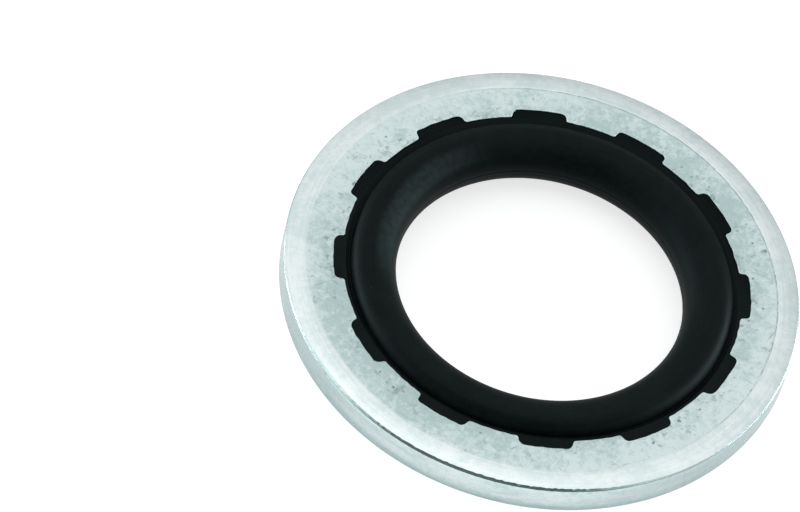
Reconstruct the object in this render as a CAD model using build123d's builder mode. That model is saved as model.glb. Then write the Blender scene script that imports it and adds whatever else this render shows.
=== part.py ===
"""Bonded sealing washer for a 12 mm banjo bolt.

A flat metal ring has a bead of rubber moulded into its bore. Twelve notches round the ring's
inner edge are filled by tabs of the same rubber, which key the seal to the ring. The bead
stands proud of both faces and is squeezed flat when the joint is tightened.

Frame: millimetres, +Z along the bore, origin on the bore axis in the plane that the lower
bead rests on. Two pieces: metal_ring and rubber_seal. The section is sized outwards from the
bore, so a change to one width carries all that lies outside it along.
"""
from build123d import *
from math import radians, sin
import os

# Rubber bead: a nose round the bolt, a crown that seals, and a groove that it spreads into
bore_diameter = 12.45
bore_land_length = 0.25
nose_width = 1.385
bead_height = 0.38
crown_radius = 0.64
crown_angle = 70.0
groove_width = 0.26
groove_depth = 0.22
groove_flank_width = 0.08

# Thin web of rubber between the groove and the metal
web_width = 0.13
web_recess = 0.04

# Notches round the ring's inner edge, filled by rubber tabs
notch_count = 12
notch_depth = 0.4
notch_width = 2.48
notch_flank_angle = 81.0
notch_corner_radius = 0.28
notch_phase = 12.0

# Metal ring
ring_width = 2.525
ring_thickness = 1.65
upper_rim_chamfer = 0.05
lower_rim_chamfer = 0.15

# Circular mark left on each face by the mould's clamp, and the band that slopes away outside it
upper_band_width = 0.945
upper_band_drop = 0.12
upper_band_bulge = 0.02
lower_band_width = 1.475
lower_band_drop = 0.06
mark_width = 0.08
mark_depth = 0.02

# Radii, from the bore outwards
bore_radius = bore_diameter / 2
crest_radius = bore_radius + nose_width
crown_edge_radius = crest_radius + crown_radius * sin(radians(crown_angle))
web_radius = crown_edge_radius + groove_width
land_radius = web_radius + web_width
notch_radius = land_radius + notch_depth
ring_radius = land_radius + ring_width
upper_mark_radius = ring_radius - upper_band_width
lower_mark_radius = ring_radius - lower_band_width

# Levels above the ring's mid-plane, and the mid-plane's own height
face_level = ring_thickness / 2
web_level = face_level - web_recess
crest_level = face_level + bead_height
mid_plane = crest_level

# Half sections lie on this plane: X is the radius, Y is the height above the mid-plane
section_plane = Plane(origin=(0, 0, mid_plane), x_dir=(1, 0, 0), z_dir=(0, -1, 0))


# The window is the ring's bore with its notches: it is cut from the ring and filled by rubber
with BuildSketch(Plane.XY.offset(mid_plane)) as window:
    with PolarLocations(land_radius, notch_count, notch_phase):
        Trapezoid(notch_width, 2 * notch_depth, notch_flank_angle, rotation=-90)
    Circle(notch_radius, mode=Mode.INTERSECT)
    notch_corners = window.vertices().filter_by(lambda v: Vector(v.X, v.Y).length > land_radius)
    fillet(notch_corners, notch_corner_radius)
    Circle(land_radius)


# Metal ring: a turned section with a sloping band on each side, cut by the window
with BuildPart() as metal_ring:
    with BuildSketch(section_plane) as ring_section:
        with BuildLine():
            upper_face = Polyline(
                (crest_radius, face_level),
                (upper_mark_radius - mark_width / 2, face_level),
                (upper_mark_radius, face_level - mark_depth),
                (upper_mark_radius + mark_width / 2, face_level),
            )
            upper_rim = (ring_radius, face_level - upper_band_drop)
            upper_band = SagittaArc(upper_face @ 1, upper_rim, upper_band_bulge)
            Polyline(
                upper_band @ 1,
                (ring_radius, lower_band_drop - face_level),
                (lower_mark_radius + mark_width / 2, -face_level),
                (lower_mark_radius, mark_depth - face_level),
                (lower_mark_radius - mark_width / 2, -face_level),
                (crest_radius, -face_level),
                upper_face @ 0,
            )
        make_face()
        rim = ring_section.vertices().group_by(Axis.X)[-1].sort_by(Axis.Y)
        chamfer(rim[-1], upper_rim_chamfer)
        chamfer(rim[0], lower_rim_chamfer)
    revolve(axis=Axis.Z)
    extrude(window.sketch, amount=ring_thickness, both=True, mode=Mode.SUBTRACT)


# Rubber seal: the web and tabs that fill the ring's window, and the turned bead inside them
with BuildPart() as rubber_seal:
    extrude(window.sketch, amount=web_level, both=True)
    with BuildSketch(Plane.XY.offset(mid_plane)):
        Circle(web_radius)
    extrude(amount=ring_thickness, both=True, mode=Mode.SUBTRACT)
    with BuildSketch(section_plane):
        with BuildLine():
            bore_land = Line((bore_radius, 0), (bore_radius, bore_land_length / 2))
            nose = EllipticalCenterArc(
                (crest_radius, bore_land_length / 2),
                nose_width,
                crest_level - bore_land_length / 2,
                start_angle=90,
                arc_size=90,
            )
            crown_centre = (crest_radius, crest_level - crown_radius)
            crown = CenterArc(crown_centre, crown_radius, 90, -crown_angle)
            groove_bottom = (crown_edge_radius + groove_flank_width, web_level - groove_depth)
            groove = Polyline(crown @ 1, groove_bottom, (web_radius, web_level), (web_radius, 0))
            mirror(about=Plane.XZ)
        make_face()
    revolve(axis=Axis.Z)


metal_ring.part.label = "metal_ring"
rubber_seal.part.label = "rubber_seal"

os.makedirs("parts", exist_ok=True)
export_step(metal_ring.part, "parts/metal_ring.step")
export_step(rubber_seal.part, "parts/rubber_seal.step")
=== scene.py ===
"""Looks of the bonded sealing washer: metal ring, rubber seal and moulding flash, in metres."""
import math

import bpy
import numpy as np
from mathutils import Matrix, Vector


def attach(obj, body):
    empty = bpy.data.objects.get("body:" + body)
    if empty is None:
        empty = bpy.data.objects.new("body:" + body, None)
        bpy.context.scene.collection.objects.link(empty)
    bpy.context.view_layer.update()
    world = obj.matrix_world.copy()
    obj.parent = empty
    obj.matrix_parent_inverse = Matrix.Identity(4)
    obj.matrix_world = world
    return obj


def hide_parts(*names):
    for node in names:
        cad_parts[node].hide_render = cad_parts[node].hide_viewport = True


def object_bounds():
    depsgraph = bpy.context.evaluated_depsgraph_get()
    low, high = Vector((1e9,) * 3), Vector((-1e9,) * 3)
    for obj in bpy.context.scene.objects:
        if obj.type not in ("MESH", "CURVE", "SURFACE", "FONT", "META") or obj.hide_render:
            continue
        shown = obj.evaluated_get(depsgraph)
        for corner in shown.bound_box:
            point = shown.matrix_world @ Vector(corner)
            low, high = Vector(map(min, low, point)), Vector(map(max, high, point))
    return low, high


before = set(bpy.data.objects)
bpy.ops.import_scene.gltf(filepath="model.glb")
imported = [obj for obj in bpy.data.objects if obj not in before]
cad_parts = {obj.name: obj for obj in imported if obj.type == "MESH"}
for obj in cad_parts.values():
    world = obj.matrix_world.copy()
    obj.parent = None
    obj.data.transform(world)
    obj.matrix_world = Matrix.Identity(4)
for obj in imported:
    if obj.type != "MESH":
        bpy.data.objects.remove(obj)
cad_low, cad_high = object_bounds()

MM = 0.001

# Section of the washer in millimetres, outwards from the bore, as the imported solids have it
BORE_RADIUS = 6.225
CREST_RADIUS = BORE_RADIUS + 1.385
CROWN_RADIUS = 0.64
CROWN_ANGLE = math.radians(70)
CROWN_EDGE_RADIUS = CREST_RADIUS + CROWN_RADIUS * math.sin(CROWN_ANGLE)
GROOVE_RADIUS = CROWN_EDGE_RADIUS + 0.08
WEB_RADIUS = CROWN_EDGE_RADIUS + 0.26
LAND_RADIUS = WEB_RADIUS + 0.13
NOTCH_DEPTH = 0.4
NOTCH_RADIUS = LAND_RADIUS + NOTCH_DEPTH
RING_RADIUS = LAND_RADIUS + 2.525
MARK_RADIUS = RING_RADIUS - 0.945
LOWER_MARK_RADIUS = RING_RADIUS - 1.475
MARK_HALF_WIDTH = 0.04
MARK_DEPTH = 0.006

# Levels in millimetres from the washer's middle plane
CREST_LEVEL = (cad_high[2] - cad_low[2]) / 2 / MM
MID_PLANE = CREST_LEVEL
FACE_LEVEL = CREST_LEVEL - 0.38
WEB_LEVEL = FACE_LEVEL - 0.04
GROOVE_LEVEL = WEB_LEVEL - 0.22
BORE_LAND_LEVEL = 0.125
BAND_DROP = 0.12
BAND_BULGE = 0.026
LOWER_BAND_DROP = 0.06

# Notches: half width at the cutter's inner end, slant of the flanks and radii of their corners
NOTCH_COUNT = 12
NOTCH_PHASE = math.radians(12)
NOTCH_HALF_WIDTH = 1.24
FLANK_SLANT = math.radians(9)
CORNER_RADIUS = 0.28
MOUTH_RADIUS = 0.13

# How far one notch differs from the next, in radians and millimetres
NOTCH_TURN_SCATTER = 0.0025
NOTCH_WIDTH_SCATTER = 0.025
CORNER_SCATTER = (-0.09, 0.03)

# Edges: the window's rolled edge, the rim's worn facet and the soft lower rim
WINDOW_EDGE_RADIUS = 0.022
FACET_WIDTH = 0.066
FACET_DROP = 0.064
LEAST_FACET = 0.2
RIM_ROUND_WIDTH = 0.042
RIM_ROUND_DROP = 0.14
LEAST_RIM_ROUND = 0.35
LOWER_RIM_RADIUS = 0.2

# Film of rubber flash on the lower face: its thickness and how deep its edges sit in the metal
FLASH_THICKNESS = 0.025
FLASH_SEAT = 0.006

# Radii and levels of the mesh loops on the ring's plain stretches, radius and level for the lower band
BLEND_RADIUS = 9.35
FACE_LOOPS = (9.6, 9.85, 10.05)
BAND_LOOPS = (10.32, 10.45, 10.6, 10.75, 10.88, 10.97)
WALL_LOOPS = (0.4, 0.1, -0.2, -0.45)
LOWER_BAND_LOOPS = ((10.6, -0.787), (10.2, -0.803), (9.85, -0.817))

# Directions about the bore: the rim's worn side, the axis of the face's painted sheen lobes, the side
# where the clamp's mark gets a painted shade line, and the side of the seal's nose with a painted sheen
WORN_SIDE = math.radians(261)
SHEEN_LOBE_SIDE = math.radians(142)
MARK_SHADE_SIDE = math.radians(40)
NOSE_SHEEN_SIDE = math.radians(162)


# Outline of the ring's window

def arc_points(centre, start, end, count):
    """Points of the shorter arc from start to end about a centre, without the last one."""
    first = math.atan2(start[1] - centre[1], start[0] - centre[0])
    last = math.atan2(end[1] - centre[1], end[0] - centre[0])
    turn = (last - first + math.pi) % (2 * math.pi) - math.pi
    radius = math.hypot(start[0] - centre[0], start[1] - centre[1])
    angles = [first + turn * i / count for i in range(count)]
    return [(centre[0] + radius * math.cos(a), centre[1] + radius * math.sin(a)) for a in angles]


def line_points(start, end, count):
    """Evenly spaced points from start to end, without the last one."""
    shares = [i / count for i in range(count)]
    return [(start[0] + (end[0] - start[0]) * s, start[1] + (end[1] - start[1]) * s) for s in shares]


def notch_outline(half_width, corner_radius):
    """Half of one pitch of the window's outline, from the notch's middle to the land's middle."""
    flank_normal = (math.sin(FLANK_SLANT), math.cos(FLANK_SLANT))
    flank_run = (math.cos(FLANK_SLANT), -math.sin(FLANK_SLANT))
    inner_end = (LAND_RADIUS - NOTCH_DEPTH, half_width)
    level = flank_normal[0] * inner_end[0] + flank_normal[1] * inner_end[1]

    def fillet_centre(away, reach):
        along = math.sqrt(reach**2 - away**2)
        return tuple(n * away + r * along for n, r in zip(flank_normal, flank_run))

    corner = fillet_centre(level - corner_radius, NOTCH_RADIUS - corner_radius)
    mouth = fillet_centre(level + MOUTH_RADIUS, LAND_RADIUS + MOUTH_RADIUS)
    corner_on_arc = tuple(c * NOTCH_RADIUS / (NOTCH_RADIUS - corner_radius) for c in corner)
    corner_on_flank = tuple(c + corner_radius * n for c, n in zip(corner, flank_normal))
    mouth_on_flank = tuple(c - MOUTH_RADIUS * n for c, n in zip(mouth, flank_normal))
    mouth_on_land = tuple(c * LAND_RADIUS / (LAND_RADIUS + MOUTH_RADIUS) for c in mouth)
    half_pitch = math.pi / NOTCH_COUNT
    land_middle = (LAND_RADIUS * math.cos(half_pitch), LAND_RADIUS * math.sin(half_pitch))
    points = arc_points((0, 0), (NOTCH_RADIUS, 0), corner_on_arc, 8)
    points += arc_points(corner, corner_on_arc, corner_on_flank, 7)
    points += line_points(corner_on_flank, mouth_on_flank, 2)
    points += arc_points(mouth, mouth_on_flank, mouth_on_land, 5)
    points += arc_points((0, 0), mouth_on_land, land_middle, 9)
    return points + [land_middle]


def window_outline():
    """The whole outline of the ring's window, with small differences from notch to notch."""
    rng = np.random.default_rng(12)
    whole = []
    for index in range(NOTCH_COUNT):
        turn = NOTCH_PHASE + 2 * math.pi * index / NOTCH_COUNT + rng.normal(0, NOTCH_TURN_SCATTER)
        cosine, sine = math.cos(turn), math.sin(turn)
        right, left = (
            notch_outline(
                NOTCH_HALF_WIDTH + rng.normal(0, NOTCH_WIDTH_SCATTER),
                CORNER_RADIUS + rng.uniform(*CORNER_SCATTER),
            )
            for side in range(2)
        )
        pitch = [(x, -y) for x, y in reversed(right)][:-1] + left[:-1]
        whole += [(x * cosine - y * sine, x * sine + y * cosine) for x, y in pitch]
    return np.array(whole)


def curve_normals(curve):
    """Unit normals of a closed curve, pointing away from the bore."""
    tangent = np.roll(curve, -1, 0) - np.roll(curve, 1, 0)
    normal = np.stack([tangent[:, 1], -tangent[:, 0]], 1)
    return normal / np.linalg.norm(normal, axis=1)[:, None]


OUTLINE = window_outline()
OUTLINE_NORMALS = curve_normals(OUTLINE)
STEP_LENGTHS = np.linalg.norm(np.roll(OUTLINE, -1, 0) - OUTLINE, axis=1)
TURNS = np.concatenate([[0], np.cumsum(STEP_LENGTHS)[:-1]]) / STEP_LENGTHS.sum() * 2 * math.pi
TURNS += math.atan2(OUTLINE[0, 1], OUTLINE[0, 0])
SPOKES = np.stack([np.cos(TURNS), np.sin(TURNS)], 1)


def ripple(seed, slowest, fastest, size):
    """A wave round the washer, summed from random harmonics; size is its usual height."""
    rng = np.random.default_rng(seed)
    harmonics = np.arange(slowest, fastest)
    phases = rng.uniform(0, 2 * math.pi, (len(harmonics), 1))
    wave = rng.normal(size=len(harmonics)) @ np.cos(np.outer(harmonics, TURNS) + phases)
    return size * wave / wave.std()


OUTLINE += OUTLINE_NORMALS * ripple(3, 30, 150, 0.007)[:, None]


# Meshes

class Loops:
    """A closed tube skinned over loops of points, each loop with a share of wear."""

    def __init__(self):
        self.rows = []
        self.wear = []

    def add(self, row, wear=0.0):
        self.rows.append(row)
        self.wear.append(wear)

    def add_outline(self, offset, level, wear=0.0):
        """A loop that follows the window's outline, moved outwards by an offset."""
        row = OUTLINE + OUTLINE_NORMALS * np.reshape(offset, (-1, 1))
        self.add(np.column_stack([row, np.broadcast_to(level, len(row))]), wear)

    def add_circle(self, radius, level, wear=0.0):
        """A loop about the bore, whose radius and level may change from point to point."""
        row = SPOKES * np.reshape(radius, (-1, 1))
        self.add(np.column_stack([row, np.broadcast_to(level, len(row))]), wear)

    def add_section(self, points):
        """One circle for each point of a section, given as radius and level."""
        for radius, level in points:
            self.add_circle(radius, level)

    def blend_to(self, goal, shares):
        """Loops between the last one and a goal loop."""
        start = self.rows[-1]
        for share in shares:
            self.add(start * (1 - share) + goal * share)

    def mesh(self, name):
        count = len(self.rows[0])
        points = (np.concatenate(self.rows) + [0, 0, MID_PLANE]) * MM
        ring = np.arange(count)
        after = (ring + 1) % count
        faces = []
        for index in range(len(self.rows)):
            low = index * count
            high = (index + 1) % len(self.rows) * count
            faces.append(np.stack([low + ring, high + ring, high + after, low + after], 1))
        mesh = bpy.data.meshes.new(name)
        mesh.from_pydata(points.tolist(), [], np.concatenate(faces).tolist())
        mesh.shade_smooth()
        layer = mesh.attributes.new("wear", "FLOAT", "POINT")
        wear = np.concatenate([np.broadcast_to(value, count) for value in self.wear])
        layer.data.foreach_set("value", wear.astype(np.float32))
        mesh.update()
        piece = bpy.data.objects.new(name, mesh)
        bpy.context.scene.collection.objects.link(piece)
        return piece


def rounded(corner, before, after, radius, count):
    """Section points that round a corner between two straight stretches."""
    corner, before, after = (np.array(point, float) for point in (corner, before, after))
    back = (before - corner) / np.linalg.norm(before - corner)
    ahead = (after - corner) / np.linalg.norm(after - corner)
    half_angle = math.acos(np.clip(back @ ahead, -1, 1)) / 2
    reach = radius / math.tan(half_angle)
    start = corner + back * reach
    end = corner + ahead * reach
    centre = corner + (back + ahead) / np.linalg.norm(back + ahead) * radius / math.sin(half_angle)
    return arc_points(centre, start, end, count) + [tuple(end)]


def circle_loop(radius, level):
    return np.column_stack([SPOKES * np.reshape(radius, (-1, 1)), np.full(len(SPOKES), level)])


def outline_loop(offset, level):
    return np.column_stack([OUTLINE + OUTLINE_NORMALS * offset, np.full(len(OUTLINE), level)])


def mark_section(radius, level, inwards, side):
    """The shallow groove that the mould's clamp leaves, from the side that inwards gives."""
    near, far = radius - inwards * MARK_HALF_WIDTH, radius + inwards * MARK_HALF_WIDTH
    bottom = (radius, level - side * MARK_DEPTH)
    points = rounded((near, level), (near - inwards, level), bottom, 0.02, 2)
    points += rounded(bottom, (near, level), (far, level), 0.012, 3)
    return points + rounded((far, level), bottom, (far + inwards, level), 0.02, 2)


def band_level(radius):
    """Level of the upper band, which falls and bulges between the mark and the rim."""
    inner = MARK_RADIUS + MARK_HALF_WIDTH
    share = (radius - inner) / (RING_RADIUS - inner)
    return FACE_LEVEL - BAND_DROP * share + 4 * BAND_BULGE * share * (1 - share)


def add_rim(loops):
    """The band's outer edge: a ragged facet, widest on the worn side, and a small round."""
    worn = np.clip((np.cos(TURNS - WORN_SIDE) - 0.6) / 0.22, 0, 1)
    facet = LEAST_FACET + (1 - LEAST_FACET) * worn
    near_share = np.clip(0.5 - np.sin(TURNS), 0, 1)
    round_share = LEAST_RIM_ROUND + (1 - LEAST_RIM_ROUND) * near_share
    facet_outer = RING_RADIUS - RIM_ROUND_WIDTH * round_share + worn * ripple(23, 60, 260, 0.006)
    facet_width = facet * (FACET_WIDTH + ripple(21, 3, 24, 0.009))
    facet_inner = facet_outer - facet_width + worn * ripple(22, 70, 260, 0.010)
    top = band_level(facet_inner)
    loops.add_circle(facet_inner - 0.012, band_level(facet_inner - 0.012), 0.3 * worn)
    for share in (0.06, 0.5, 0.94):
        radius = facet_inner * (1 - share) + facet_outer * share
        loops.add_circle(radius, top - facet * FACET_DROP * share, worn)
    round_drop = round_share * (RIM_ROUND_DROP - FACET_DROP)
    for turn in (25, 50, 75):
        width, drop = math.sin(math.radians(turn)), 1 - math.cos(math.radians(turn))
        radius = facet_outer + (RING_RADIUS - facet_outer) * width
        loops.add_circle(radius, top - facet * FACET_DROP - round_drop * drop, 0.6 * worn)
    loops.add_circle(RING_RADIUS, FACE_LEVEL - BAND_DROP - RIM_ROUND_DROP - 0.03, 0.3)


def window_edge():
    """Offset and drop of the points that round the window's edge, from the window to the face."""
    turns = [math.radians(turn) for turn in (0, 22.5, 45, 67.5, 90)]
    return [(WINDOW_EDGE_RADIUS * (1 - math.cos(t)), WINDOW_EDGE_RADIUS * (1 - math.sin(t))) for t in turns]


def ring_loops():
    """The metal ring, from its window over the upper face, round the rim and back below."""
    loops = Loops()
    loops.add_outline(0, 0)
    loops.add_outline(0, WEB_LEVEL - 0.05)
    for offset, drop in window_edge():
        loops.add_outline(offset, FACE_LEVEL - drop, 0.2)
    loops.add_outline(WINDOW_EDGE_RADIUS + 0.02, FACE_LEVEL, 0.2)
    loops.add_outline(WINDOW_EDGE_RADIUS + 0.045, FACE_LEVEL)
    loops.blend_to(circle_loop(BLEND_RADIUS, FACE_LEVEL), (0.12, 0.35, 0.65, 1))
    loops.add_section([(radius, FACE_LEVEL) for radius in FACE_LOOPS])
    loops.add_section(mark_section(MARK_RADIUS, FACE_LEVEL, 1, 1))
    loops.add_section([(radius, band_level(radius)) for radius in BAND_LOOPS])
    add_rim(loops)
    loops.add_section([(RING_RADIUS, level) for level in WALL_LOOPS])
    lower_rim = (RING_RADIUS, LOWER_BAND_DROP - FACE_LEVEL)
    band_start = (LOWER_MARK_RADIUS, -FACE_LEVEL)
    loops.add_section(rounded(lower_rim, (RING_RADIUS, 0), band_start, LOWER_RIM_RADIUS, 7))
    loops.add_section(LOWER_BAND_LOOPS)
    loops.add_section(mark_section(LOWER_MARK_RADIUS, -FACE_LEVEL, -1, -1))
    loops.add_circle(BLEND_RADIUS, -FACE_LEVEL)
    loops.blend_to(outline_loop(WINDOW_EDGE_RADIUS + 0.02, -FACE_LEVEL), (0.35, 0.65, 0.88, 1))
    for offset, drop in reversed(window_edge()):
        loops.add_outline(offset, drop - FACE_LEVEL, 1.0)
    loops.add_outline(0, 0.05 - WEB_LEVEL)
    return loops


def seal_half_section():
    """The bead's upper half section, from the web's edge to the middle of the bore."""
    crown_middle = CREST_LEVEL - CROWN_RADIUS
    crown_end = (CROWN_EDGE_RADIUS, crown_middle + CROWN_RADIUS * math.cos(CROWN_ANGLE))
    groove = (GROOVE_RADIUS, GROOVE_LEVEL)
    section = rounded((WEB_RADIUS, WEB_LEVEL), (LAND_RADIUS, WEB_LEVEL), groove, 0.03, 4)
    section += rounded(groove, (WEB_RADIUS, WEB_LEVEL), crown_end, 0.035, 5)
    for turn in np.linspace(CROWN_ANGLE, 0, 14):
        radius = CREST_RADIUS + CROWN_RADIUS * math.sin(turn)
        section.append((radius, crown_middle + CROWN_RADIUS * math.cos(turn)))
    width, height = CREST_RADIUS - BORE_RADIUS, CREST_LEVEL - BORE_LAND_LEVEL
    for turn in np.linspace(0, math.pi / 2, 21)[1:]:
        radius = CREST_RADIUS - width * math.sin(turn)
        section.append((radius, BORE_LAND_LEVEL + height * math.cos(turn)))
    return section + [(BORE_RADIUS, 0.02)]


def seal_loops():
    """The rubber seal, from the tabs' upper face through the bead to their lower face."""
    half = seal_half_section()
    web_edge = WEB_RADIUS + 0.045
    loops = Loops()
    loops.add_outline(0, 0)
    loops.add_outline(0, WEB_LEVEL - 0.02)
    loops.add_outline(0, WEB_LEVEL)
    loops.blend_to(circle_loop(web_edge, WEB_LEVEL), (0.06, 0.3, 0.6, 0.85, 1))
    loops.add_section(half)
    loops.add_circle(BORE_RADIUS - 0.012, 0)
    loops.add_section([(radius, -level) for radius, level in reversed(half)])
    loops.add_circle(web_edge, -WEB_LEVEL)
    loops.blend_to(outline_loop(0, -WEB_LEVEL), (0.15, 0.4, 0.7, 0.94, 1))
    loops.add_outline(0, 0.02 - WEB_LEVEL)
    return loops


def flash_loops():
    """Film of rubber on the lower face, torn off short of the clamp's mark."""
    reach = np.linalg.norm(OUTLINE, axis=1)
    over_notch = np.clip((reach - LAND_RADIUS - 0.3) / 0.08, 0, 1)
    inner = 0.03 + 0.075 * over_notch + ripple(31, 20, 120, 0.006)
    torn = LOWER_MARK_RADIUS - 0.17 + ripple(32, 2, 18, 0.045) + ripple(33, 40, 170, 0.014)
    torn = np.minimum(torn, LOWER_MARK_RADIUS - MARK_HALF_WIDTH)
    loops = Loops()
    loops.add_outline(inner, FLASH_SEAT - FACE_LEVEL)
    loops.add_outline(inner + 0.012, -FACE_LEVEL - FLASH_THICKNESS)
    loops.blend_to(circle_loop(torn - 0.02, -FACE_LEVEL - FLASH_THICKNESS), (0.33, 0.67, 1))
    loops.add_circle(torn, FLASH_SEAT - FACE_LEVEL)
    return loops


# Materials

class Nodes:
    """Short calls for building the node tree of a material or a world."""

    def __init__(self, owner, output="OutputMaterial"):
        owner.use_nodes = True
        self.owner = owner
        self.tree = owner.node_tree
        self.tree.nodes.clear()
        self.output = self.add(output)

    def add(self, kind, inputs=None, **settings):
        node = self.tree.nodes.new("ShaderNode" + kind)
        for key, value in settings.items():
            setattr(node, key, value)
        for key, value in (inputs or {}).items():
            self.feed(node, key, value)
        return node

    def feed(self, node, key, value):
        socket = node.inputs[key]
        if isinstance(value, bpy.types.NodeSocket):
            self.tree.links.new(value, socket)
        else:
            socket.default_value = value

    def math(self, operation, first, second=0.0):
        return self.add("Math", {0: first, 1: second}, operation=operation).outputs[0]

    def times(self, *values):
        result = values[0]
        for value in values[1:]:
            result = self.math("MULTIPLY", result, value)
        return result

    def total(self, *shares):
        """Sum of (value, weight) pairs."""
        result = 0.0
        for value, weight in shares:
            node = self.add("Math", {0: value, 1: weight, 2: result}, operation="MULTIPLY_ADD")
            result = node.outputs[0]
        return result

    def most(self, *values):
        result = values[0]
        for value in values[1:]:
            result = self.math("MAXIMUM", result, value)
        return result

    def off(self, value, middle):
        """How far a value is from a middle."""
        return self.math("ABSOLUTE", self.math("SUBTRACT", value, middle))

    def facing(self, angle, side):
        """1 where an angle about the bore is on a side, -1 opposite it."""
        return self.math("COSINE", self.math("SUBTRACT", angle, side))

    def position(self):
        """Place on the object in millimetres, its height, and the radius and angle about the bore."""
        coordinates = self.add("TexCoord").outputs["Object"]
        place = self.add("VectorMath", {0: coordinates, "Scale": 1 / MM}, operation="SCALE").outputs[0]
        split = self.add("SeparateXYZ", {0: place}).outputs
        flat = self.add("CombineXYZ", {0: split[0], 1: split[1]}).outputs[0]
        radius = self.add("VectorMath", {0: flat}, operation="LENGTH").outputs["Value"]
        angle = self.math("ARCTAN2", split[1], split[0])
        return place, split[2], radius, angle

    def noise(self, place, scale, detail=4.0, roughness=0.55, distortion=0.0):
        inputs = {"Vector": place, "Scale": scale, "Detail": detail}
        inputs.update({"Roughness": roughness, "Distortion": distortion})
        return self.add("TexNoise", inputs).outputs["Fac"]

    def turned(self, angle, radius, height, detail, roughness):
        """Noise drawn out round the bore, as turning or rolling leaves it."""
        place = self.add("CombineXYZ", {0: angle, 1: radius, 2: height}).outputs[0]
        return self.noise(place, 1.0, detail, roughness)

    def ramp(self, value, low, high, low_out=0.0, high_out=1.0, shape="SMOOTHSTEP"):
        inputs = {"Value": value, "From Min": low, "From Max": high, "To Min": low_out, "To Max": high_out}
        return self.add("MapRange", inputs, interpolation_type=shape).outputs["Result"]

    def dots(self, place, scale, chosen, size):
        """Scattered round spots: one in some of the cells, up to a size given in millimetres."""
        cells = self.add("TexVoronoi", {"Vector": place, "Scale": scale})
        parts = self.add("SeparateColor", {0: cells.outputs["Color"]}).outputs
        reach = self.ramp(parts[1], 0, 1, 0.35 * size * scale, size * scale)
        depth = self.math("SUBTRACT", 1.0, self.math("DIVIDE", cells.outputs["Distance"], reach))
        return self.times(self.ramp(depth, 0, 0.6), self.math("GREATER_THAN", parts[0], 1 - chosen))

    def mix(self, share, first, second):
        node = self.add("Mix", data_type="RGBA")
        self.feed(node, 0, share)
        self.feed(node, 6, first)
        self.feed(node, 7, second)
        return node.outputs[2]

    def bump(self, height, strength, distance):
        return self.add("Bump", {"Height": height, "Strength": strength, "Distance": distance}).outputs[0]


def metal_noises(n, place):
    """Noise at four sizes: clouds, blotches, mottle and grain."""
    cloud = n.noise(place, 0.42, 3, 0.5)
    blotch = n.noise(place, 1.6, 5, 0.6, 0.5)
    mottle = n.noise(place, 3.7, 4, 0.6, 0.3)
    grain = n.noise(place, 13, 2, 0.5)
    return cloud, blotch, mottle, grain


def face_colour(n, noises, outwards, angle):
    """Pressed face: mottled grey, lighter outwards, with a painted sheen in two lobes along one line across
    the washer.
    """
    cloud, blotch, mottle, grain = noises
    mixed = n.total((cloud, 0.16), (blotch, 0.29), (mottle, 0.40), (grain, 0.15))
    # Painted sheen: the face is made lighter in two lobes along one line, as a directional reflection would
    # make it.
    painted_sheen_lobes = n.math("COSINE", n.total((angle, 2.0), (1.0, -2 * SHEEN_LOBE_SIDE)))
    tone = n.ramp(n.total((mixed, 1.0), (outwards, 1.0), (painted_sheen_lobes, 0.050)), 0.40, 0.60)
    return n.mix(tone, (0.492, 0.617, 0.612, 1), (0.73, 0.82, 0.82, 1))


def band_colour(n, noises, lathe):
    """Smooth, bright band with faint turning lines."""
    cloud, blotch, mottle = noises[:3]
    mixed = n.total((cloud, 0.25), (blotch, 0.25), (mottle, 0.25), (lathe, 0.25))
    return n.mix(n.ramp(mixed, 0.42, 0.58), (0.685, 0.775, 0.777, 1), (0.835, 0.888, 0.888, 1))


def wall_colour(n, rolled, mottle, angle, height):
    """Rolled wall, with painted shade low down and at the washer's left and right."""
    tone = n.total((rolled, 0.5), (mottle, 0.3), (n.ramp(height, 0.38, 1.3), 0.2))
    colour = n.mix(n.ramp(tone, 0.35, 0.7), (0.415, 0.52, 0.525, 1), (0.66, 0.735, 0.74, 1))
    # Painted shade: the wall is darkened at the washer's left and right and towards the floor.
    side_shade = n.ramp(n.math("ABSOLUTE", n.math("COSINE", angle)), 0.2, 0.95, 0.0, 0.65)
    painted_wall_shade = n.most(side_shade, n.ramp(height, 0.5, 1.0, 0.8, 0.0))
    return n.mix(painted_wall_shade, colour, (0.28, 0.36, 0.365, 1))


def scratch_lines(n, place):
    """Fine straight scuffs in three directions, each kept to its own patches."""
    lines = []
    for turn, patch_scale in ((0.5, 0.7), (1.9, 0.6), (-0.7, 0.8)):
        turned = n.add("VectorRotate", {"Vector": place, "Angle": turn}, rotation_type="Z_AXIS").outputs[0]
        drawn = n.add("VectorMath", {0: turned, 1: (0.8, 12.0, 1.0)}, operation="MULTIPLY").outputs[0]
        line = n.ramp(n.noise(drawn, 1.0, 2, 0.5), 0.66, 0.74)
        lines.append(n.times(line, n.ramp(n.noise(turned, patch_scale, 2, 0.5), 0.5, 0.6)))
    return n.most(*lines)


def face_marks(n, place, ragged, outwards):
    """Pits and smudges, most crowded towards the window, and scuffs."""
    crowding = n.math("ADD", n.noise(place, 0.8, 3, 0.5), n.times(outwards, -2.5))
    crowded = n.ramp(crowding, 0.44, 0.60)
    pits = n.times(n.dots(ragged, 2.6, 0.75, 0.11), crowded)
    smudges = n.times(n.ramp(n.noise(ragged, 3.0, 3, 0.6), 0.54, 0.68), crowded, 0.6)
    scuffs = n.times(scratch_lines(n, place), 0.7)
    return n.most(pits, smudges, scuffs)


def mark_painted_shade(n, mottle, radius, angle):
    """Broken line of painted shade in the clamp's mark, on one side of the washer."""
    # Painted shade in the recess of the clamp's mark, strongest on one side.
    in_mark = n.ramp(n.off(radius, MARK_RADIUS - 0.01), 0.015, 0.05, 1, 0)
    on_side = n.ramp(n.facing(angle, MARK_SHADE_SIDE), -0.1, 0.7)
    return n.times(n.ramp(mottle, 0.35, 0.6), in_mark, on_side, 0.75)


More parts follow.
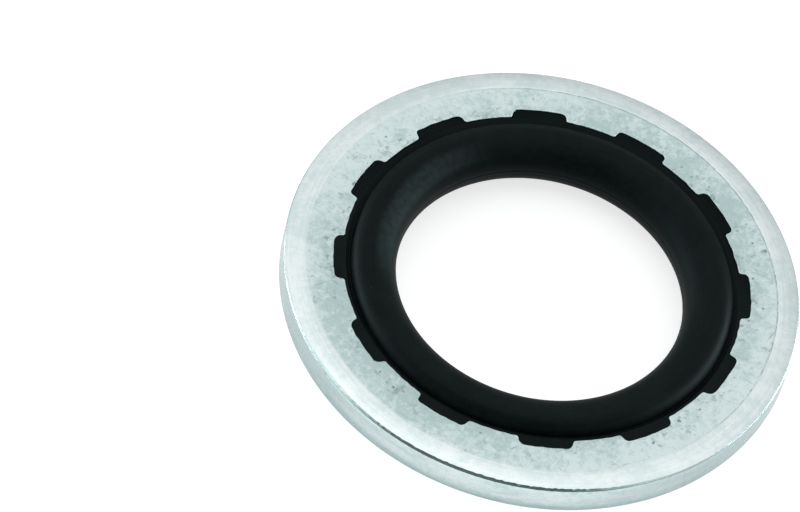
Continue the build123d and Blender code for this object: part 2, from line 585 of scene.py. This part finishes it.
def metal_material():
    """Tumbled light metal: mottled pressed face, smooth bright band and a rolled wall."""
    n = Nodes(bpy.data.materials.new("tumbled_metal"))
    place, height, radius, angle = n.position()
    on_face = n.ramp(radius, MARK_RADIUS - 0.02, MARK_RADIUS + 0.02, 1, 0)
    on_wall = n.ramp(radius, RING_RADIUS - 0.05, RING_RADIUS - 0.015)
    roughened = n.ramp(on_face, 0, 1, 0.18, 1)
    outwards = n.ramp(radius, LAND_RADIUS, 10.1, -0.035, 0.035)
    wear = n.add("Attribute", attribute_name="wear").outputs["Fac"]

    noises = metal_noises(n, place)
    mottle, grain = noises[2:]
    lathe = n.turned(n.times(angle, 2.0), n.times(radius, 9.0), n.times(height, 9.0), 3, 0.5)
    rolled = n.turned(n.times(angle, 5.0), n.times(height, 3.0), 0.0, 4, 0.55)
    colour = n.mix(on_face, band_colour(n, noises, lathe), face_colour(n, noises, outwards, angle))
    colour = n.mix(on_wall, colour, wall_colour(n, rolled, mottle, angle, height))

    warp = n.add("TexNoise", {"Vector": place, "Scale": 6.0, "Detail": 2.0}).outputs["Color"]
    warped = n.add("VectorMath", {0: warp, 1: (0.22, 0.22, 0.22), 2: place}, operation="MULTIPLY_ADD")
    ragged = warped.outputs[0]
    marks = n.times(face_marks(n, place, ragged, outwards), roughened)
    # Dark colour: pits, smudges and scuffs, plus the painted shade line in the clamp's mark.
    dark = n.most(marks, mark_painted_shade(n, mottle, radius, angle))
    colour = n.mix(n.times(dark, 0.85), colour, (0.22, 0.285, 0.282, 1))
    # Painted glints as bright specks in the colour, together with the polished colour of worn edges.
    glints = n.times(n.dots(ragged, 3.3, 0.3, 0.07), roughened, 0.6)
    glints_and_polish = n.most(glints, n.times(wear, n.ramp(mottle, 0.38, 0.55)))
    colour = n.mix(n.times(glints_and_polish, 0.65), colour, (0.60, 0.91, 0.88, 1))

    rough = n.total((on_face, 0.17), (dark, 0.15), (mottle, 0.12), (wear, -0.10), (0.22, 1.0))
    pressed = n.times(n.total((mottle, 0.45), (grain, 0.35), (dark, -0.5)), roughened)
    off_face = n.times(n.math("SUBTRACT", 1.0, on_face), 0.25)
    relief = n.total((rolled, n.times(on_wall, 0.6)), (lathe, off_face), (pressed, 1.0))
    shader = n.add("BsdfPrincipled", {"Base Color": colour, "Roughness": rough, "Metallic": 1.0})
    n.feed(shader, "Normal", n.bump(relief, 0.4, 0.012 * MM))
    n.feed(n.output, "Surface", shader.outputs[0])
    return n.owner


def dusted(n, colour, place, radius, angle, cloud, mottle):
    """A rubber colour with specks of dust, painted light in the groove on the far side and a painted sheen
    on a stretch of the nose.
    """
    specks = n.times(n.dots(place, 2.2, 0.3, 0.05), n.ramp(cloud, 0.45, 0.6), 0.5)
    colour = n.mix(specks, colour, (0.045, 0.06, 0.06, 1))
    # Painted light: the groove is made lighter on the washer's far side.
    groove = n.ramp(n.off(radius, GROOVE_RADIUS + 0.10), 0.03, 0.14, 1, 0)
    far_side = n.ramp(n.math("SINE", angle), -0.6, 0.3)
    colour = n.mix(n.times(groove, far_side, 0.6), colour, (0.022, 0.030, 0.031, 1))
    # Painted sheen on a stretch of the seal's nose, on one side of the bore.
    nose = n.times(n.ramp(radius, 6.35, 6.6), n.ramp(radius, 7.0, 7.4, 1, 0))
    sheen_facing = n.ramp(n.facing(angle, NOSE_SHEEN_SIDE), 0.72, 0.99)
    painted_nose_sheen = n.times(nose, sheen_facing, n.ramp(mottle, 0.35, 0.6, 0.5, 0.9))
    return n.mix(painted_nose_sheen, colour, (0.020, 0.029, 0.030, 1))


def rubber_material():
    """Black moulded rubber with a soft sheen, a little dust and the mould's faint turning lines."""
    n = Nodes(bpy.data.materials.new("moulded_rubber"))
    place, height, radius, angle = n.position()
    cloud = n.noise(place, 0.8, 4, 0.6)
    mottle = n.noise(place, 3.5, 4, 0.6)
    grain = n.noise(place, 13, 4, 0.6)
    turned = n.turned(n.times(angle, 1.5), n.times(radius, 8.0), n.times(height, 8.0), 3, 0.5)
    tone = n.ramp(n.total((cloud, 0.4), (mottle, 0.35), (turned, 0.25)), 0.40, 0.60)
    colour = n.mix(tone, (0.0018, 0.0032, 0.0034, 1), (0.0042, 0.0066, 0.0068, 1))
    colour = dusted(n, colour, place, radius, angle, cloud, mottle)

    near_bore = n.ramp(radius, 6.6, 7.3, 0.06, 0)
    far_outside = n.times(n.ramp(radius, 7.7, 8.0), n.ramp(n.math("SINE", angle), 0.0, 0.5))
    texture = n.total((cloud, 0.10), (mottle, 0.12), (grain, 0.10))
    rough = n.total((texture, 1.0), (near_bore, 1.0), (far_outside, 0.3), (0.36, 1.0))
    relief = n.total((grain, 0.5), (mottle, 0.35), (turned, 0.45))
    shader = n.add("BsdfPrincipled", {"Base Color": colour, "Roughness": rough})
    n.feed(shader, "Specular IOR Level", 0.10)
    n.feed(shader, "Specular Tint", (0.74, 0.98, 1.0, 1))
    n.feed(shader, "Normal", n.bump(relief, 0.4, 0.008 * MM))
    n.feed(n.output, "Surface", shader.outputs[0])
    return n.owner


# Pieces

def dress(piece, material):
    piece.data.materials.append(material)
    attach(piece, "root")


metal = metal_material()
rubber = rubber_material()

ring = ring_loops().mesh("ring")
dress(ring, metal)
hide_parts("metal_ring")

seal = seal_loops().mesh("seal")
dress(seal, rubber)
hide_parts("rubber_seal")

flash = flash_loops().mesh("flash")
dress(flash, rubber)


# Camera: a long lens, placed by where the middle of the upper face falls in the picture

PICTURE_WIDTH = 800
PICTURE_HEIGHT = 512
FOCAL_PIXELS = 8000
FACE_CENTRE_PIXEL = (542.98, 276.29)
CAMERA_ELEVATION = math.radians(51.397)
CAMERA_ROLL = math.radians(15.081)
CAMERA_DISTANCE = 0.33970


def make_camera():
    data = bpy.data.cameras.new("camera")
    data.sensor_width = 36
    data.lens = FOCAL_PIXELS * data.sensor_width / PICTURE_WIDTH
    data.clip_start = 0.01
    data.clip_end = 10
    camera = bpy.data.objects.new("camera", data)
    bpy.context.scene.collection.objects.link(camera)
    sine, cosine = math.sin(CAMERA_ELEVATION), math.cos(CAMERA_ELEVATION)
    world_in_camera = Matrix(((1, 0, 0), (0, -sine, -cosine), (0, cosine, -sine)))
    world_in_camera = Matrix.Rotation(CAMERA_ROLL, 3, "Z") @ world_in_camera
    camera_in_world = world_in_camera.transposed()
    sideways = (FACE_CENTRE_PIXEL[0] - PICTURE_WIDTH / 2) / FOCAL_PIXELS
    downwards = (FACE_CENTRE_PIXEL[1] - PICTURE_HEIGHT / 2) / FOCAL_PIXELS
    to_centre = camera_in_world @ Vector((sideways, downwards, 1)) * CAMERA_DISTANCE
    face_centre = Vector((0, 0, (MID_PLANE + FACE_LEVEL) * MM))
    right, down, forward = camera_in_world.col
    axes = Matrix((right, -down, -forward)).transposed().to_4x4()
    camera.matrix_world = Matrix.Translation(face_centre - to_centre) @ axes
    bpy.context.scene.camera = camera


# Floor, studio and lamps, in metres and watts; directions point from the washer

FLOOR_SIZE = 1.2
PAPER_COLOUR = (0.55, 0.56, 0.56, 1)
PAPER_GLOW = 0.72

TENT_COLOUR = (0.97, 1.0, 1.0, 1)
HORIZON_LEVEL = 0.24
TOP_LEVEL = 1.0
LEFT_LEVEL = 1.34
RIGHT_LEVEL = 0.85

OPENING_DIRECTION = (-0.05, -0.64, 0.77)
OPENING_NARROWING = (0.6, 1.0, 1.0)
OPENING_OUTSIDE = math.radians(35)
OPENING_INSIDE = math.radians(17)
OPENING_LEVEL = 0.13

LAMPS = {
    "overhead": {
        "direction": (0.0, 0.15, 1.0),
        "distance": 0.5,
        "size": (0.4, 0.3),
        "power": 0.07,
        "colour": (1.0, 0.96, 0.95),
    },
    "left": {
        "direction": (-0.93, 0.14, 0.12),
        "distance": 0.4,
        "size": (0.30, 0.09),
        "power": 0.85,
        "colour": (0.84, 1.0, 1.0),
    },
    "right": {
        "direction": (0.83, 0.32, 0.12),
        "distance": 0.4,
        "size": (0.30, 0.09),
        "power": 1.0,
        "colour": (0.84, 1.0, 1.0),
    },
}


def make_floor():
    """Pale paper that the picture and mirrors see as near white, and that keeps its shadows."""
    bpy.ops.mesh.primitive_plane_add(size=FLOOR_SIZE, location=(0, 0, 0))
    floor = bpy.context.object
    floor.name = "floor"
    n = Nodes(bpy.data.materials.new("floor_paper"))
    paper = n.add("BsdfDiffuse", {"Color": PAPER_COLOUR})
    glow = n.add("Emission", {"Color": (1, 1, 1, 1), "Strength": PAPER_GLOW})
    path = n.add("LightPath")
    seen = n.most(*(path.outputs[f"Is {kind} Ray"] for kind in ("Camera", "Glossy", "Transmission")))
    lit = n.add("AddShader", {0: paper.outputs[0], 1: glow.outputs[0]})
    shader = n.add("MixShader", {0: seen, 1: paper.outputs[0], 2: lit.outputs[0]})
    n.feed(n.output, "Surface", shader.outputs[0])
    floor.data.materials.append(n.owner)


def tent_opening(n, direction):
    """Level of the light near the opening, which is narrowed across the viewer's line of sight."""
    narrowed = n.add("VectorMath", {0: direction, 1: OPENING_NARROWING}, operation="MULTIPLY").outputs[0]
    unit = n.add("VectorMath", {0: narrowed}, operation="NORMALIZE").outputs[0]
    middle = Vector(OPENING_DIRECTION).normalized()
    nearness = n.add("VectorMath", {0: unit, 1: middle}, operation="DOT_PRODUCT").outputs["Value"]
    return n.ramp(nearness, math.cos(OPENING_OUTSIDE), math.cos(OPENING_INSIDE), 1.0, OPENING_LEVEL)


def make_world():
    """A light tent, brighter upwards and to the left, with a dark opening where the viewer stands."""
    world = bpy.data.worlds.new("studio")
    bpy.context.scene.world = world
    n = Nodes(world, "OutputWorld")
    direction = n.add("TexCoord").outputs["Generated"]
    parts = n.add("SeparateXYZ", {0: direction}).outputs
    upwards = n.ramp(parts[2], -0.1, 1.0, HORIZON_LEVEL, TOP_LEVEL, "LINEAR")
    leftwards = n.ramp(parts[0], -1.0, 1.0, LEFT_LEVEL, RIGHT_LEVEL, "LINEAR")
    level = n.times(upwards, tent_opening(n, direction), leftwards)
    background = n.add("Background", {"Color": TENT_COLOUR, "Strength": level})
    n.feed(n.output, "Surface", background.outputs[0])


def make_lamp(name, direction, distance, size, power, colour):
    """A soft rectangular lamp that faces the washer from a direction."""
    data = bpy.data.lights.new(name, "AREA")
    data.shape = "RECTANGLE"
    data.size, data.size_y = size
    data.energy = power
    data.color = colour
    lamp = bpy.data.objects.new(name, data)
    bpy.context.scene.collection.objects.link(lamp)
    back = Vector(direction).normalized()
    lamp.location = back * distance
    lamp.rotation_mode = "QUATERNION"
    lamp.rotation_quaternion = back.to_track_quat("Z", "Y")


make_camera()
make_floor()
make_world()
for lamp_name, lamp_values in LAMPS.items():
    make_lamp(lamp_name, **lamp_values)

bpy.context.scene.view_settings.view_transform = "Standard"
